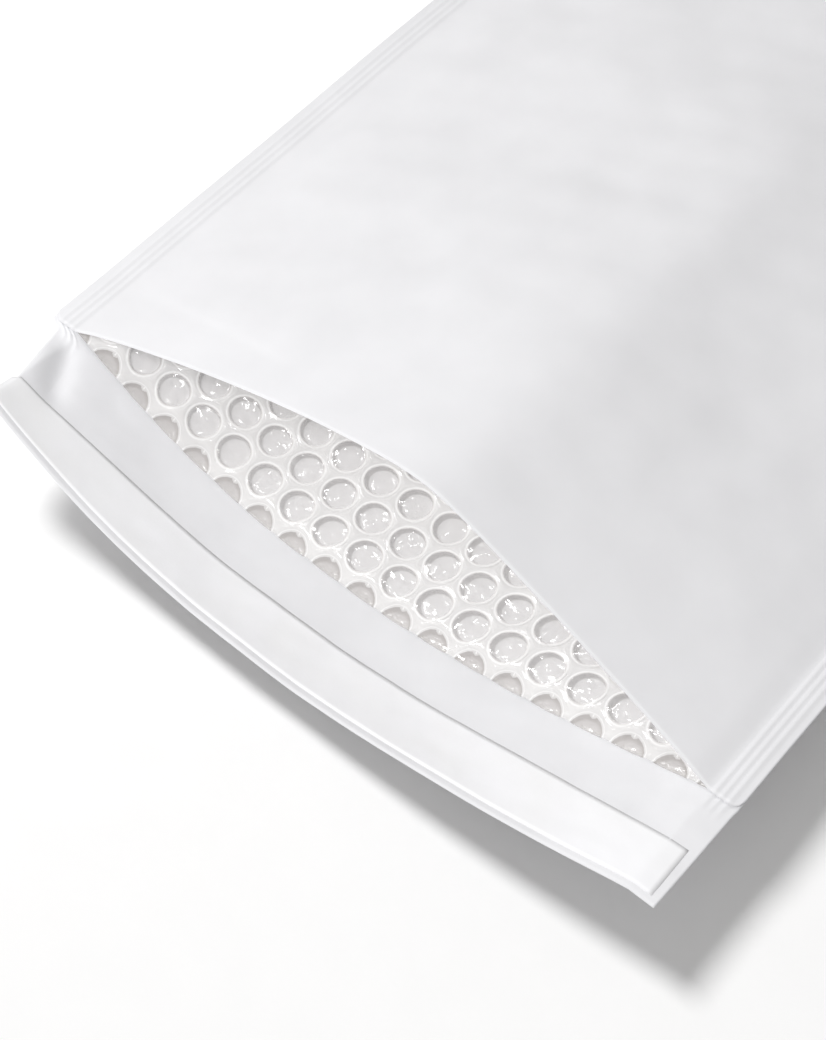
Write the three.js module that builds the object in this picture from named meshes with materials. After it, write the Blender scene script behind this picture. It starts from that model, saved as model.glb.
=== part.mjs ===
// A padded mailing envelope, lying open on its back panel. Millimetres, +Z up.
// X runs across the envelope and Y from the flap to the closed end.
// The origin is the middle of the footprint, on the surface that the envelope lies on.
//
// A place on either panel is given by two numbers. "across" goes from -1 at the inner
// edge of the left seam to +1 at the inner edge of the right one, and past those it
// counts seam widths. "along" is the distance from the mouth, towards the closed end.

import * as THREE from 'three';
import { mergeVertices } from 'three/addons/utils/BufferGeometryUtils.js';

// The outline, laid out as it rests
const BODY_LENGTH = 350;
const FLAP_LENGTH_SIDE = 33.3;
const FLAP_LENGTH_MIDDLE = 40.6;
const SEAM_WIDTH = 8.5;
const HALF_CHORD_MOUTH = 107.5;
const HALF_CHORD_END = 110.3;
const FLAP_HALF_WIDTH_LEFT = [112.5, 105];
const FLAP_HALF_WIDTH_RIGHT = [115.8, 115];

// The sheets
const PAPER = 0.3;
const FILM_BUBBLES = 4;
const FILM_IN_SEAM = 0.4;
const GAP = 0.3;
const POCKET_HALF_GAP = 0.9;

// Heights of the mouth and of the closed end above the surface
const SEAM_HEIGHT_LEFT = 24;
const SEAM_HEIGHT_RIGHT = 19.6;
const SEAM_HEIGHT_END = 5;
const RIDGE_HEIGHT = 52.2;
const RIDGE_ACROSS = 0.09;
const RIDGE_ROUNDING = 2.8;
const LEFT_SLOPE_BULGE = 1.5;
const RIGHT_SLOPE_BULGE = -2.3;
const BELLY_LEFT = -0.23;
const BELLY_RIGHT = 0.05;
const BELLY_LEFT_POWER = 1.9;
const BELLY_RIGHT_POWER = 1.4;
const END_BELLY = 0.75;
const END_BELLY_POWER = 1.6;

// The mouth, the lining's cut edges and the flap
const LIP_SCOOP = 9.7;
const LINING_BULGE = 4.9;
const FRONT_LINING_START = 22;
const FRONT_LINING_STEP = 1;
const CRUSHED_FROM = 0.8;
const FLAP_LIFT_LEFT = 5.7;
const FLAP_LIFT_MIDDLE = 9.5;
const FLAP_LIFT_RIGHT = 0.9;
const FOLD_DEPTH = 6;
const WEB_LENGTH = 7.5;
const POCKET_END_MARGIN = 9;
const POCKET_NECK = 24;

// The closure on the flap, as distances out from the mouth, and its ends across
const ADHESIVE = 0.3;
const LINER = 0.3;
const LINER_START_LEFT = 19.2;
const LINER_START_RIGHT = 16.6;
const LINER_END = 31.2;
const LINER_LEFT = -108.5;
const LINER_RIGHT = 112.8;
const ADHESIVE_MARGIN = 2.5;
const ADHESIVE_LEFT = -104;
const ADHESIVE_RIGHT = 105;

// How finely the surfaces are divided
const COLUMNS = 22;
const PANEL_ROWS = 6;
const FOLD_STEPS = 6;
const FLAP_HEM = 1.5;
const FLAP_STATIONS = [0.05, 0.16, 0.35, 0.7, 1];
const STRIP_ROWS = 2;

const MIDDLE_Y = (BODY_LENGTH + PAPER / 2 - FLAP_LENGTH_MIDDLE) / 2;
const SHEET_GAP = FILM_IN_SEAM + 2 * GAP + PAPER;
const LINING_OFFSET = PAPER / 2 + GAP;

const clamp01 = (t) => THREE.MathUtils.clamp(t, 0, 1);
const lerp = THREE.MathUtils.lerp;

/** Evenly spaced numbers from a to b, both included. */
function span(a, b, steps) {
  return Array.from({ length: steps + 1 }, (_, i) => lerp(a, b, i / steps));
}

/** Places across a panel, closer together towards the seams. */
function panelColumns() {
  return span(-1, 1, COLUMNS).map((t) => Math.sin((t * Math.PI) / 2) * 0.45 + t * 0.55);
}

/** Distance of a place across from the middle line of the envelope. */
function acrossToX(across, along) {
  const half = lerp(HALF_CHORD_MOUTH, HALF_CHORD_END, clamp01(along / BODY_LENGTH));
  const inside = THREE.MathUtils.clamp(across, -1, 1);
  return inside * half + (across - inside) * SEAM_WIDTH;
}

/** The back panel at the mouth: a trough with a flat belly that rises to both seams. */
function backAtMouth(across) {
  const left = clamp01((BELLY_LEFT - across) / (1 + BELLY_LEFT));
  const right = clamp01((across - BELLY_RIGHT) / (1 - BELLY_RIGHT));
  const low = PAPER / 2;
  return (
    low +
    (SEAM_HEIGHT_LEFT - SHEET_GAP / 2 - low) * left ** BELLY_LEFT_POWER +
    (SEAM_HEIGHT_RIGHT - SHEET_GAP / 2 - low) * right ** BELLY_RIGHT_POWER
  );
}

/** The front panel at the mouth: two slopes that meet in a rounded ridge. */
function frontAtMouth(across) {
  const left = clamp01((across + 1) / (1 + RIDGE_ACROSS));
  const right = clamp01((1 - across) / (1 - RIDGE_ACROSS));
  const beyondLeft = Math.max(0, (across - RIDGE_ACROSS) / (1 + RIDGE_ACROSS));
  const beyondRight = Math.max(0, (RIDGE_ACROSS - across) / (1 - RIDGE_ACROSS));
  const riseLeft = RIDGE_HEIGHT - SEAM_HEIGHT_LEFT;
  const riseRight = RIDGE_HEIGHT - SEAM_HEIGHT_RIGHT;
  const slopeLeft =
    SEAM_HEIGHT_LEFT + riseLeft * (left + beyondLeft) + LEFT_SLOPE_BULGE * 4 * left * (1 - left);
  const slopeRight =
    SEAM_HEIGHT_RIGHT +
    riseRight * (right + beyondRight) +
    RIGHT_SLOPE_BULGE * 4 * right * (1 - right);
  const blend =
    -RIDGE_ROUNDING *
    Math.log(Math.exp(-slopeLeft / RIDGE_ROUNDING) + Math.exp(-slopeRight / RIDGE_ROUNDING));
  return blend + SHEET_GAP / 2;
}

/** Thickness of one layer of the lining: full in the middle, crushed flat at the seams. */
function liningThickness(across) {
  const t = clamp01((1 - Math.abs(across)) / (1 - CRUSHED_FROM));
  return FILM_IN_SEAM / 2 + (FILM_BUBBLES - FILM_IN_SEAM / 2) * t * t * (3 - 2 * t);
}

/** Half the distance between the two panels at the closed end. */
function halfThicknessAtEnd(across) {
  const inside = Math.min(1, Math.abs(across));
  const pocket = POCKET_HALF_GAP * Math.sqrt(1 - inside * inside);
  return LINING_OFFSET + liningThickness(inside) + pocket;
}

/** The back panel at the closed end, flat but for its rise into the seams. */
function backAtEnd(across) {
  const t = clamp01((Math.abs(across) - END_BELLY) / (1 - END_BELLY));
  const rise = SEAM_HEIGHT_END - SHEET_GAP / 2 - PAPER / 2;
  return PAPER / 2 + rise * t ** END_BELLY_POWER;
}

/** Height of the back panel's middle surface. */
function backHeight(across, along) {
  const inside = THREE.MathUtils.clamp(across, -1, 1);
  return lerp(backAtMouth(inside), backAtEnd(inside), clamp01(along / BODY_LENGTH));
}

/** Height of the front panel's middle surface. */
function frontHeight(across, along) {
  const inside = THREE.MathUtils.clamp(across, -1, 1);
  const end = backAtEnd(inside) + 2 * halfThicknessAtEnd(inside);
  return lerp(frontAtMouth(inside), end, clamp01(along / BODY_LENGTH));
}

/** How far the bottom fold's curve reaches past the straight part of the panels. */
function foldDepth(across) {
  return Math.min(FOLD_DEPTH, halfThicknessAtEnd(across) * (FOLD_DEPTH / FILM_BUBBLES) - 0.3);
}

/** A crown that is 1 in the middle of the envelope and 0 at the seams. */
function crown(across) {
  return 1 - Math.min(1, Math.abs(across)) ** 2;
}

/** A point in space from a place across, a distance along and a height. */
function place(across, along, height) {
  return new THREE.Vector3(acrossToX(across, along), along - MIDDLE_Y, height);
}

/** Collects triangles and welds them into one closed mesh. */
class Skin {
  constructor() {
    this.corners = [];
  }

  triangle(a, b, c) {
    const close = (p, q) => p.distanceTo(q) < 1e-3;
    if (close(a, b) || close(b, c) || close(c, a)) return;
    this.corners.push(a, b, c);
  }

  /** Adds the quads between neighbouring rows of points. */
  patch(rows, flipped = false) {
    for (let i = 0; i + 1 < rows.length; i++) {
      for (let j = 0; j + 1 < rows[i].length; j++) {
        const [a, b, c, d] = [rows[i][j], rows[i][j + 1], rows[i + 1][j + 1], rows[i + 1][j]];
        if (flipped) {
          this.triangle(a, c, b);
          this.triangle(a, d, c);
        } else {
          this.triangle(a, b, c);
          this.triangle(a, c, d);
        }
      }
    }
  }

  /** The welded mesh, with its faces pointing out. */
  geometry() {
    let volume = 0;
    for (let i = 0; i < this.corners.length; i += 3) {
      const [a, b, c] = this.corners.slice(i, i + 3);
      volume += a.dot(new THREE.Vector3().crossVectors(b, c));
    }
    if (volume < 0) this.corners.reverse();
    const open = new THREE.BufferGeometry().setFromPoints(this.corners);
    const welded = mergeVertices(open, 1e-3);
    welded.computeVertexNormals();
    return welded;
  }
}

/** The unit normals of a grid of points, from its neighbours along both directions. */
function gridNormals(rows) {
  return rows.map((row, i) =>
    row.map((_, j) => {
      const before = rows[Math.max(0, i - 1)][j];
      const after = rows[Math.min(rows.length - 1, i + 1)][j];
      const left = row[Math.max(0, j - 1)];
      const right = row[Math.min(row.length - 1, j + 1)];
      const forward = new THREE.Vector3().subVectors(after, before);
      const sideways = new THREE.Vector3().subVectors(right, left);
      return sideways.cross(forward).normalize();
    }),
  );
}

/** A sheet of even thickness about a grid of points, as one closed solid. */
function sheetGeometry(rows, thickness) {
  const normals = gridNormals(rows);
  const shifted = (distance) =>
    rows.map((row, i) => row.map((p, j) => p.clone().addScaledVector(normals[i][j], distance)));
  const top = shifted(thickness / 2);
  const bottom = shifted(-thickness / 2);
  const last = rows.length - 1;
  const side = (j) => [top, bottom].map((skin) => skin.map((row) => row[j]));
  const skin = new Skin();
  skin.patch(top);
  skin.patch(bottom, true);
  skin.patch([bottom[0], top[0]]);
  skin.patch([top[last], bottom[last]]);
  skin.patch(side(0));
  skin.patch(side(rows[0].length - 1), true);
  return skin.geometry();
}

/** The paper's path: front panel, round the bottom fold, back panel, and out as the flap. */
function paperRows() {
  const columns = [-2, ...panelColumns(), 2];
  const foldStart = (across) => BODY_LENGTH - foldDepth(across);
  const front = span(0, 1, PANEL_ROWS).map((t) =>
    columns.map((across) => {
      const along = lerp(LIP_SCOOP * crown(across), foldStart(across), t);
      return place(across, along, frontHeight(across, along));
    }),
  );
  const fold = span(0, Math.PI, FOLD_STEPS)
    .slice(1, -1)
    .map((angle) =>
      columns.map((across) => {
        const start = foldStart(across);
        const top = frontHeight(across, start);
        const low = backHeight(across, start);
        const along = start + foldDepth(across) * Math.sin(angle);
        return place(across, along, lerp(low, top, (1 + Math.cos(angle)) / 2));
      }),
    );
  const back = span(1, 0, PANEL_ROWS).map((t) =>
    columns.map((across) => {
      const along = foldStart(across) * t;
      return place(across, along, backHeight(across, along));
    }),
  );
  const flap = FLAP_STATIONS.map(flapRow);
  return [...front, ...fold, ...back, ...flap];
}

/** How high the flap's free edge stands above the line of the back panel. */
function flapLift(across) {
  const side = across < 0 ? FLAP_LIFT_LEFT : FLAP_LIFT_RIGHT;
  return FLAP_LIFT_MIDDLE + (side - FLAP_LIFT_MIDDLE) * across * across;
}

/** A point on the flap's middle surface, t of the way from the mouth to its free edge. */
function flapPoint(x, t) {
  const across = THREE.MathUtils.clamp(x / HALF_CHORD_MOUTH, -1, 1);
  const length = lerp(FLAP_LENGTH_SIDE, FLAP_LENGTH_MIDDLE, crown(across));
  const height = backAtMouth(across) + flapLift(across) * t * t;
  return new THREE.Vector3(x, -length * t - MIDDLE_Y, height);
}

/** A row of points across the flap, from one tapered side edge to the other. */
function flapRow(t) {
  const left = -lerp(FLAP_HALF_WIDTH_LEFT[0], FLAP_HALF_WIDTH_LEFT[1], t);
  const right = lerp(FLAP_HALF_WIDTH_RIGHT[0], FLAP_HALF_WIDTH_RIGHT[1], t);
  const inside = panelColumns().map((across) => across * HALF_CHORD_MOUTH);
  inside[0] = Math.max(inside[0], left + FLAP_HEM);
  return [left, ...inside, right].map((x) => flapPoint(x, t));
}

/** The lining: a bag of bubble film, open at the mouth, with its edges pressed into webs. */
function liningGeometry() {
  const tip = 1 + WEB_LENGTH / SEAM_WIDTH;
  const inner = panelColumns();
  const outer = [-tip, ...inner, tip];
  const isSeam = (across) => Math.abs(across) > 0.999;
  const frontStart = (across) => (isSeam(across) ? FRONT_LINING_STEP : FRONT_LINING_START);
  const backStart = (across) =>
    isSeam(across) ? FRONT_LINING_STEP : -LINING_BULGE * crown(across);
  const straightEnd = (across) => BODY_LENGTH - foldDepth(across);
  const rows = span(0, 1, PANEL_ROWS);
  const quarter = span(0, Math.PI / 2, FOLD_STEPS / 2).slice(1);

  const outside = (height, sign, start) => [
    ...rows.map((t) =>
      outer.map((across) => {
        const along = lerp(start(across), straightEnd(across), t);
        return place(across, along, height(across, along) + sign * LINING_OFFSET);
      }),
    ),
    ...quarter.map((angle) =>
      outer.map((across) => {
        const end = straightEnd(across);
        const middle = (frontHeight(across, end) + backHeight(across, end)) / 2;
        const reach = (height(across, end) + sign * LINING_OFFSET - middle) * Math.cos(angle);
        const depth = Math.max(0.2, foldDepth(across) - LINING_OFFSET);
        return place(across, end + depth * Math.sin(angle), middle + reach);
      }),
    ),
  ];

  const pocketEnd = (across) => straightEnd(across) - POCKET_END_MARGIN;
  const inside = (height, sign, start) =>
    [...rows.map((t) => [t, false]), [1, true]].map(([t, closes]) =>
      inner.map((across) => {
        const last = pocketEnd(across);
        const along = closes ? last : lerp(start(across), last - POCKET_NECK, t);
        const middle = (frontHeight(across, along) + backHeight(across, along)) / 2;
        const surface =
          height(across, along) + sign * (LINING_OFFSET + liningThickness(across));
        return place(across, along, closes || isSeam(across) ? middle : surface);
      }),
    );

  const outerFront = outside(frontHeight, -1, frontStart);
  const outerBack = outside(backHeight, 1, backStart);
  const innerFront = inside(frontHeight, -1, frontStart);
  const innerBack = inside(backHeight, 1, backStart);

  const skin = new Skin();
  skin.patch(outerFront);
  skin.patch(outerBack, true);
  skin.patch(innerFront, true);
  skin.patch(innerBack);
  const column = (grid, j) => grid.map((row) => row[j]);
  skin.patch([column(outerFront, 0), column(outerBack, 0)]);
  const last = outer.length - 1;
  skin.patch([column(outerFront, last), column(outerBack, last)], true);
  skin.patch([innerFront[0], outerFront[0].slice(1, -1)]);
  skin.patch([innerBack[0], outerBack[0].slice(1, -1)], true);
  for (const [outerEnd, innerEnd, flipped] of [
    [0, 0, false],
    [last, inner.length - 1, true],
  ]) {
    const nextTo = outerEnd === 0 ? 1 : last - 1;
    const corner = innerFront[0][innerEnd];
    const outline = [
      outerFront[0][nextTo],
      outerFront[0][outerEnd],
      outerBack[0][outerEnd],
      outerBack[0][nextTo],
    ];
    for (let i = 0; i < 3; i++) {
      const [a, b] = flipped ? [outline[i + 1], outline[i]] : [outline[i], outline[i + 1]];
      skin.triangle(corner, a, b);
    }
  }
  return skin.geometry();
}

/** A strip that lies on the flap, from one distance out from the mouth to another. */
function flapStripGeometry({ startLeft, startRight, end, left, right, lift, thickness }) {
  const columns = panelColumns()
    .map((across) => across * HALF_CHORD_MOUTH)
    .filter((x) => x > left + 1 && x < right - 1);
  const rows = span(1, 0, STRIP_ROWS).map((t) =>
    [left, ...columns, right].map((x) => {
      const start = lerp(startLeft, startRight, (x - left) / (right - left));
      const point = flapPoint(x, lerp(start, end, t) / FLAP_LENGTH_SIDE);
      point.z += lift;
      return point;
    }),
  );
  return sheetGeometry(rows, thickness);
}

const envelope = new THREE.Group();

/** Adds a named piece with its finish. */
function addPiece(name, geometry, colour, roughness) {
  const finish = new THREE.MeshStandardMaterial({ color: colour, roughness, metalness: 0 });
  const mesh = new THREE.Mesh(geometry, finish);
  mesh.name = name;
  envelope.add(mesh);
}

addPiece('paper_envelope', sheetGeometry(paperRows(), PAPER), 0xf1f1f0, 0.75);
addPiece('bubble_lining', liningGeometry(), 0xe6e6e3, 0.2);

const adhesiveLift = PAPER / 2 + GAP + ADHESIVE / 2;
addPiece(
  'adhesive_strip',
  flapStripGeometry({
    startLeft: LINER_START_LEFT + ADHESIVE_MARGIN,
    startRight: LINER_START_RIGHT + ADHESIVE_MARGIN,
    end: LINER_END - ADHESIVE_MARGIN,
    left: ADHESIVE_LEFT,
    right: ADHESIVE_RIGHT,
    lift: adhesiveLift,
    thickness: ADHESIVE,
  }),
  0xe9e4d4,
  0.3,
);
addPiece(
  'release_liner',
  flapStripGeometry({
    startLeft: LINER_START_LEFT,
    startRight: LINER_START_RIGHT,
    end: LINER_END,
    left: LINER_LEFT,
    right: LINER_RIGHT,
    lift: adhesiveLift + ADHESIVE / 2 + GAP + LINER / 2,
    thickness: LINER,
  }),
  0xf3f3f2,
  0.45,
);

export default envelope;
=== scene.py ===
"""An open paper mailer lined with bubble film, lying on a pale floor.

The envelope is one sheet of white paper, folded round its closed end and out again as the flap, with its
two sides crimped and heat-sealed. A bag of clear bubble film lines it, and its flap carries a strip of
adhesive under a peel-off liner. Sizes are in millimetres until a mesh is made.
"""

from __future__ import annotations

import logging
import math
from dataclasses import dataclass
from enum import Enum

import bmesh
import bpy
import numpy as np
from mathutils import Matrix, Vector
from mathutils.geometry import delaunay_2d_cdt


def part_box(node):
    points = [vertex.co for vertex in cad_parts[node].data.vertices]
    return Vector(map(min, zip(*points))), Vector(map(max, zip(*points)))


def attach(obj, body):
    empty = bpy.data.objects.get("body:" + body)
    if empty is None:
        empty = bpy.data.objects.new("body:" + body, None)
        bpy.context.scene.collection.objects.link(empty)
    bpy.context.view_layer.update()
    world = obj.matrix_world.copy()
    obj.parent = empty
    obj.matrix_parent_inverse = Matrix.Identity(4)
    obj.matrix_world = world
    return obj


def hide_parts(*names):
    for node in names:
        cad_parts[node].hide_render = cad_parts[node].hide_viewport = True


LOG = logging.getLogger("padded_envelope")
MM = 0.001
BODY = "root"
SEED = 21
# How far the paper at the closed end reaches past the bottom fold's own line.
PAST_THE_FOLD = 0.15

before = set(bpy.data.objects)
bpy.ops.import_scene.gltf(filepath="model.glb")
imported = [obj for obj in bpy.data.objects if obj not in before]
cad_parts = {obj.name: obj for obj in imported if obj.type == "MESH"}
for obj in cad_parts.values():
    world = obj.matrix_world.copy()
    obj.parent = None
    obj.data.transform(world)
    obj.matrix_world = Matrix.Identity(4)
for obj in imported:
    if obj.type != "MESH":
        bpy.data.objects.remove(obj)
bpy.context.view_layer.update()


# ---------------------------------------------------------------- small helpers


def clamp01(value: np.ndarray) -> np.ndarray:
    """The value, held between 0 and 1."""
    return np.clip(value, 0.0, 1.0)


def smoothstep(value: np.ndarray) -> np.ndarray:
    """3t^2 - 2t^3 of the value held between 0 and 1: a soft step."""
    t = clamp01(value)
    return t * t * (3.0 - 2.0 * t)


def lerp(start: np.ndarray, end: np.ndarray, share: np.ndarray) -> np.ndarray:
    """The place that lies `share` of the way from start to end."""
    return start + (end - start) * share


def bell(distance: np.ndarray, width: float) -> np.ndarray:
    """exp(-(distance/width)^2): a soft hump of height 1."""
    return np.exp(-((distance / width) ** 2))


def crown(across: np.ndarray) -> np.ndarray:
    """1 - across^2: 1 in the middle of the envelope and 0 at its seams."""
    return 1.0 - np.minimum(1.0, np.abs(across)) ** 2


def linear(hex_colour: str) -> tuple[float, float, float, float]:
    """An sRGB hex colour as linear RGBA.

    Args:
        hex_colour: six hex digits, without a sign in front.

    Returns:
        The linear red, green, blue and an alpha of 1.
    """
    parts = [int(hex_colour[i : i + 2], 16) / 255.0 for i in (0, 2, 4)]
    return (*(p / 12.92 if p <= 0.04045 else ((p + 0.055) / 1.055) ** 2.4 for p in parts), 1.0)


# ---------------------------------------------------------------- the envelope's form


@dataclass(frozen=True)
class Waves:
    """A fixed random sum of plane waves, which gives paper its soft unevenness."""

    seed: int
    shortest: float
    longest: float
    count: int

    def height(self, x: np.ndarray, y: np.ndarray) -> np.ndarray:
        """Sum of a_k cos(q_k . p + phase_k), a_k in step with the wavelength, scaled to about -1 to 1.

        Args:
            x: places across, in millimetres.
            y: places along, in millimetres.

        Returns:
            The height of the waves at each place.
        """
        random = np.random.default_rng(self.seed)
        lengths = self.shortest * (self.longest / self.shortest) ** random.random(self.count)
        turns = random.random(self.count) * math.pi
        phases = random.random(self.count) * 2.0 * math.pi
        total = np.zeros(np.broadcast(x, y).shape)
        for length, turn, phase in zip(lengths, turns, phases):
            wave = 2.0 * math.pi / length
            total += length * np.cos(wave * (math.cos(turn) * x + math.sin(turn) * y) + phase)
        return total / (lengths.sum() * 0.6)


@dataclass(frozen=True)
class Crease:
    """One soft fold line in a sheet: a hump or a valley about a straight stretch."""

    x: float
    y: float
    turn: float
    length: float
    width: float
    height: float

    def lift(self, x: np.ndarray, y: np.ndarray) -> np.ndarray:
        """height * exp(-(sideways/width)^2) * exp(-(lengthways/(length/2))^4).

        Args:
            x: places across, in millimetres.
            y: places from the mouth line, in millimetres.

        Returns:
            How far the sheet is lifted at each place.
        """
        cos, sin = math.cos(math.radians(self.turn)), math.sin(math.radians(self.turn))
        lengthways = (x - self.x) * cos + (y - self.y) * sin
        sideways = (y - self.y) * cos - (x - self.x) * sin
        reach = np.exp(-((lengthways / (self.length / 2.0)) ** 4))
        return self.height * bell(sideways, self.width) * reach


@dataclass(frozen=True)
class EnvelopeForm:
    """The middle surfaces of the paper panels and the flap, as formulas of place.

    `across` is -1 at the inner line of the left seam and 1 at that of the right one, and past those it
    counts seam widths. `along` is the distance from the mouth line towards the closed end.
    """

    mouth_y: float
    length: float = 350.0
    seam_width: float = 8.5
    half_chord_mouth: float = 107.5
    half_chord_end: float = 110.3
    paper: float = 0.14
    floor_gap: float = 0.02
    seam_gap: float = 0.7
    seam_height_left: float = 23.35
    seam_height_right: float = 18.95
    seam_height_end: float = 4.35
    ridge_height: float = 52.2
    ridge_across: float = 0.09
    ridge_rounding: float = 2.8
    left_bulge: float = 1.5
    right_bulge: float = -2.3
    front_offset: float = 1.3
    belly_left: float = -0.23
    belly_right: float = 0.05
    belly_left_power: float = 1.9
    belly_right_power: float = 1.4
    end_belly: float = 0.75
    end_belly_power: float = 1.6
    lining: float = 4.0
    lining_at_seam: float = 0.2
    paper_at_end: float = 0.45
    pocket_half_gap: float = 0.9
    crushed_from: float = 0.8
    fold_reach: float = 6.0
    fold_clearance: float = 0.3
    lip_scoop: float = 9.7
    lip_corner: float = 3.0
    broad_waves: float = 0.9
    small_waves: float = 0.42
    lining_edge: float = 0.4
    flap_broad_waves: float = 0.4
    flap_small_waves: float = 0.10
    flap_length_side: float = 33.3
    flap_length_middle: float = 40.6
    flap_lift_left: float = 5.7
    flap_lift_middle: float = 9.5
    flap_lift_right: float = 0.9
    crimp_pitch: float = 2.1
    crimp_first: float = 1.3
    crimp_count: int = 3
    crimp_height: float = 0.42

    @property
    def low(self) -> float:
        """Height of the paper's middle surface where it lies on the floor."""
        return self.floor_gap + self.paper / 2.0

    def x_of(self, across: np.ndarray, along: np.ndarray) -> np.ndarray:
        """clamp(across) * half chord + what is past the seam line * seam width."""
        half = lerp(self.half_chord_mouth, self.half_chord_end, clamp01(along / self.length))
        inside = np.clip(across, -1.0, 1.0)
        return inside * half + (across - inside) * self.seam_width

    def back_at_mouth(self, across: np.ndarray) -> np.ndarray:
        """low + rise * left^1.9 + rise * right^1.4: a trough with a flat belly.

        Args:
            across: places across.

        Returns:
            The back panel's height on the mouth line.
        """
        left = clamp01((self.belly_left - across) / (1.0 + self.belly_left))
        right = clamp01((across - self.belly_right) / (1.0 - self.belly_right))
        rise_left = self.seam_height_left - self.low
        rise_right = self.seam_height_right - self.low
        left_side = rise_left * left**self.belly_left_power
        right_side = rise_right * right**self.belly_right_power
        return self.low + left_side + right_side

    def front_at_mouth(self, across: np.ndarray) -> np.ndarray:
        """The soft minimum -k log(e^(-L/k) + e^(-R/k)) of two bulged slopes, which meet in a ridge.

        Args:
            across: places across.

        Returns:
            The front panel's height on the mouth line, before it is pressed down at its seams.
        """
        seam_left = self.seam_height_left + self.front_offset / 2.0
        seam_right = self.seam_height_right + self.front_offset / 2.0
        left = (across + 1.0) / (1.0 + self.ridge_across)
        right = (1.0 - across) / (1.0 - self.ridge_across)
        inside_left, inside_right = clamp01(left), clamp01(right)
        slope_left = seam_left + (self.ridge_height - seam_left) * np.maximum(left, 0.0)
        slope_left += self.left_bulge * 4.0 * inside_left * (1.0 - inside_left)
        slope_right = seam_right + (self.ridge_height - seam_right) * np.maximum(right, 0.0)
        slope_right += self.right_bulge * 4.0 * inside_right * (1.0 - inside_right)
        k = self.ridge_rounding
        blend = -k * np.log(np.exp(-slope_left / k) + np.exp(-slope_right / k))
        return blend + self.front_offset / 2.0

    def lining_thickness(self, across: np.ndarray) -> np.ndarray:
        """Thin at the seams, and full within a fifth of the half width."""
        full = smoothstep((1.0 - np.abs(across)) / (1.0 - self.crushed_from))
        return self.lining_at_seam + (self.lining - self.lining_at_seam) * full

    def half_thickness_at_end(self, across: np.ndarray) -> np.ndarray:
        """Half the distance between the panels at the closed end: lining + gap * sqrt(1 - across^2)."""
        inside = np.clip(np.abs(across), 0.0, 1.0)
        gap = self.pocket_half_gap * np.sqrt(1.0 - inside**2)
        return self.paper_at_end + self.lining_thickness(inside) + gap

    def back_at_end(self, across: np.ndarray) -> np.ndarray:
        """low + rise * t^1.6, with t growing from the end belly's edge to the seam."""
        t = clamp01((np.abs(across) - self.end_belly) / (1.0 - self.end_belly))
        return self.low + (self.seam_height_end - self.low) * t**self.end_belly_power

    def crimp(self, across: np.ndarray) -> np.ndarray:
        """The sealing jaws' ridges: the sum of exp(-((past - first - i pitch) / (0.3 pitch))^2).

        Args:
            across: places across.

        Returns:
            How far the ridges lift the paper.
        """
        past = np.maximum(np.abs(across) - 1.0, 0.0) * self.seam_width
        total = np.zeros_like(past)
        for i in range(self.crimp_count):
            total += bell(past - self.crimp_first - i * self.crimp_pitch, self.crimp_pitch * 0.3)
        return self.crimp_height * total * smoothstep(past / 0.6)

    def seam_wave(self, across: np.ndarray, along: np.ndarray) -> np.ndarray:
        """Two slow sine waves along each seam, shared by all that is sealed in it.

        Args:
            across: places across.
            along: distances from the mouth line.

        Returns:
            The seams' unevenness, which fades a fifth of the half width in from them.
        """
        side = np.sign(across)
        wave = np.sin(along / 17.0 + side) * 0.22 + np.sin(along / 41.0 + 2.0 * side) * 0.45
        return wave * smoothstep((np.abs(across) - 0.8) / 0.2) * smoothstep(along / 25.0)

    def back(self, across: np.ndarray, along: np.ndarray) -> np.ndarray:
        """The mouth's curve, which turns evenly into the closed end's.

        Args:
            across: places across.
            along: distances from the mouth line.

        Returns:
            The back panel's height, never below the floor.
        """
        inside = np.clip(across, -1.0, 1.0)
        share = clamp01(along / self.length)
        height = lerp(self.back_at_mouth(inside), self.back_at_end(inside), share)
        height = height + self.crimp(across) + self.seam_wave(across, along)
        return np.maximum(height, self.low)

    def front(self, across: np.ndarray, along: np.ndarray) -> np.ndarray:
        """The tent over the mouth, which sinks evenly to the closed end and is pressed down at its seams.

        Args:
            across: places across.
            along: distances from the mouth line.

        Returns:
            The front panel's height, with its wrinkles.
        """
        inside = np.clip(across, -1.0, 1.0)
        share = clamp01(along / self.length)
        end = self.back_at_end(inside) + 2.0 * self.half_thickness_at_end(inside)
        height = lerp(self.front_at_mouth(inside), end, share)
        pressed = smoothstep((np.abs(across) - 0.93) / 0.07)
        height = height - (self.front_offset - self.seam_gap) * pressed
        height = height + self.front_wrinkles(self.x_of(across, along), along, inside)
        return height + self.crimp(across) + self.seam_wave(across, along)

    def front_wrinkles(self, x: np.ndarray, along: np.ndarray, inside: np.ndarray) -> np.ndarray:
        """Soft unevenness, which fades at the seams, the lip and the closed end.

        The lining's own edge shows through as a faint step on the left, which dies out along the panel.

        Args:
            x: places across, in millimetres.
            along: distances from the mouth line.
            inside: the same places across, as shares of the half width.

        Returns:
            How far the paper is lifted.
        """
        free = smoothstep((1.0 - np.abs(inside)) / 0.16)
        free = free * lerp(0.35, 1.0, smoothstep(along / 60.0))
        free = free * smoothstep((self.length - 8.0 - along) / 30.0)
        broad = self.broad_waves * Waves(SEED + 1, 45.0, 130.0, 9).height(x, along)
        small = self.small_waves * Waves(SEED + 2, 14.0, 38.0, 16).height(x, along)
        edge = self.lining_edge * smoothstep((along - 21.0) / 2.2) * smoothstep((-38.0 - x) / 12.0)
        return free * (broad + small + edge * (1.0 - smoothstep((along - 24.0) / 30.0)))

    def fold_depth(self, across: np.ndarray) -> np.ndarray:
        """How far the bottom fold's curve reaches past the straight panels."""
        deep = self.half_thickness_at_end(across) * (self.fold_reach / self.lining) - self.fold_clearance
        return np.minimum(self.fold_reach, deep)

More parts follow.
